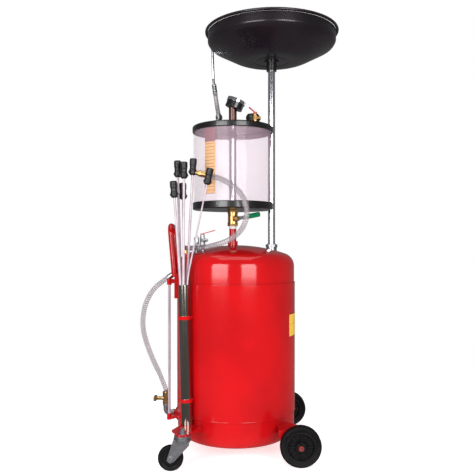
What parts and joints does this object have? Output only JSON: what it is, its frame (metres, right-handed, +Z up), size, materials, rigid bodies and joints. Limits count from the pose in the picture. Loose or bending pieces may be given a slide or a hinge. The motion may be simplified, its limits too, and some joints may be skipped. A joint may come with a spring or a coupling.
{
  "type": "wheeled waste oil drainer",
  "caption": "Wheeled pressure tank with an overhead catch bowl on a sliding pole, a clear measuring chamber, suction probes, hoses and ball valves.",
  "frame": {"origin": "on the floor, at the bottom centre of the machine's box, measured without the free hoses and the coupling on one of them", "axes": "+Z up along the tank's axis, +X towards the axle wheels, -X towards the push handle and casters, +Y to the left of a person who pushes the handle"},
  "size_m": [0.6896, 0.595, 1.4517],
  "materials": {
    "red_paint": "glossy stoved enamel",
    "red_lever": "dipped lever",
    "black_paint": "glossy black powder coat",
    "chrome": "bright plated tube",
    "zinc_steel": "zinc plated",
    "post_metal": "bronzed steel",
    "brass": "satin brass",
    "clear_plastic": "clear, a little lilac",
    "clear_hose": "clear hose with a steel spiral",
    "nylon": "milky",
    "black_plastic": "moulded",
    "wheel_rubber": "satin black",
    "gasket_rubber": "matt",
    "green_sleeve": "dipped vinyl",
    "scale_yellow": "printed strip",
    "pointer_paint": "matt black"
  },
  "bodies": {
    "tank": {"tank_shell": "red_paint", "tank_top_head": "red_paint", "tank_bottom_head": "red_paint", "push_handle": "red_paint", "axle_brackets": "red_paint", "stub_axles": "red_paint", "axle_washers_and_pins": "zinc_steel", "caster_brackets": "red_paint", "caster_stems": "zinc_steel", "probe_storage_tube": "chrome", "storage_tube_bands": "red_paint", "probe_tubes": "nylon", "probe_grips": "black_plastic", "riser_pipe": "red_paint", "chamber_valve_body": "brass", "chamber_base_ring": "black_paint", "chamber_tube": "clear_plastic", "chamber_gaskets": "gasket_rubber", "chamber_lid": "black_paint", "chamber_centre_tube": "chrome", "scale_strip": "scale_yellow", "gauge_post": "post_metal", "gauge_case": "black_paint", "gauge_lens": "clear_plastic", "gauge_bezel": "chrome", "muffler": "black_paint", "vacuum_valve_body": "brass", "wand_inlet_elbow": "zinc_steel", "air_valve_body": "zinc_steel", "safety_valve": "zinc_steel", "suction_elbow": "brass", "pole_gland": "zinc_steel", "sight_tube": "clear_plastic", "sight_fittings": "red_paint", "drain_elbow": "zinc_steel", "drain_valve_body": "brass", "return_fitting": "zinc_steel", "suction_hose": "clear_hose", "suction_coupling": "brass", "discharge_hose": "clear_hose", "wand_hose": "clear_hose", "wand_sleeve": "zinc_steel", "wand_pipe": "chrome"},
    "pole": {"drain_pole": "chrome"},
    "bowl": {"catch_bowl": "black_paint", "bowl_strainer": "zinc_steel", "bowl_clamp_nut": "black_paint"},
    "chamber_lever": {"chamber_valve_ball": "brass", "chamber_valve_lever": "zinc_steel", "chamber_lever_sleeve": "green_sleeve"},
    "air_lever": {"air_valve_lever": "red_lever"},
    "vacuum_lever": {"vacuum_valve_lever": "red_lever"},
    "drain_handle": {"drain_valve_handle": "brass"},
    "pointer": {"gauge_pointer": "pointer_paint"},
    "axle_wheel_right": {"axle_wheel_right": "wheel_rubber"},
    "axle_wheel_left": {"axle_wheel_left": "wheel_rubber"},
    "caster_fork_right": {"caster_fork_right": "zinc_steel"},
    "caster_fork_left": {"caster_fork_left": "zinc_steel"},
    "caster_wheel_right": {"caster_wheel_right": "wheel_rubber"},
    "caster_wheel_left": {"caster_wheel_left": "wheel_rubber"}
  },
  "joints": [
    {"name": "pole_lift", "type": "slide", "parent": "tank", "child": "pole", "axis": [0, 0, 1], "range_m": [-0.12, 0]},
    {"name": "bowl_swivel", "type": "hinge", "parent": "pole", "child": "bowl", "pos_m": [0.08578, 0.06229, 1.328], "axis": [0, 0, 1], "continuous": true},
    {"name": "chamber_valve_turn", "type": "hinge", "parent": "tank", "child": "chamber_lever", "pos_m": [-0.05103, -0.01754, 0.768], "axis": [0.5, -0.866, 0], "range_deg": [-85, 0]},
    {"name": "air_valve_turn", "type": "hinge", "parent": "tank", "child": "air_lever", "pos_m": [-0.15021, -0.09556, 0.71217], "axis": [0, 0, 1], "range_deg": [0, 90]},
    {"name": "vacuum_valve_turn", "type": "hinge", "parent": "tank", "child": "vacuum_lever", "pos_m": [0.02397, -0.07454, 1.118], "axis": [0, 0, 1], "range_deg": [0, 90]},
    {"name": "drain_valve_turn", "type": "hinge", "parent": "tank", "child": "drain_handle", "pos_m": [-0.27903, -0.00754, 0.154], "axis": [-1, 0, 0], "range_deg": [0, 90]},
    {"name": "gauge_needle", "type": "hinge", "parent": "tank", "child": "pointer", "pos_m": [-0.04303, -0.01754, 1.16], "axis": [0.3746, 0, 0.9272], "range_deg": [0, 270], "stiffness_Nm_per_rad": 0.002},
    {"name": "axle_wheel_right_spin", "type": "hinge", "parent": "tank", "child": "axle_wheel_right", "pos_m": [0.15797, -0.24234, 0.0635], "axis": [0, 1, 0], "continuous": true},
    {"name": "axle_wheel_left_spin", "type": "hinge", "parent": "tank", "child": "axle_wheel_left", "pos_m": [0.15797, 0.20726, 0.0635], "axis": [0, 1, 0], "continuous": true},
    {"name": "caster_right_swivel", "type": "hinge", "parent": "tank", "child": "caster_fork_right", "pos_m": [-0.20003, -0.27054, 0.095], "axis": [0, 0, 1], "continuous": true},
    {"name": "caster_left_swivel", "type": "hinge", "parent": "tank", "child": "caster_fork_left", "pos_m": [-0.20003, 0.23546, 0.095], "axis": [0, 0, 1], "continuous": true},
    {"name": "caster_right_roll", "type": "hinge", "parent": "caster_fork_right", "child": "caster_wheel_right", "pos_m": [-0.23603, -0.27054, 0.0385], "axis": [0, 1, 0], "continuous": true},
    {"name": "caster_left_roll", "type": "hinge", "parent": "caster_fork_left", "child": "caster_wheel_left", "pos_m": [-0.23603, 0.23546, 0.0385], "axis": [0, 1, 0], "continuous": true}
  ]
}
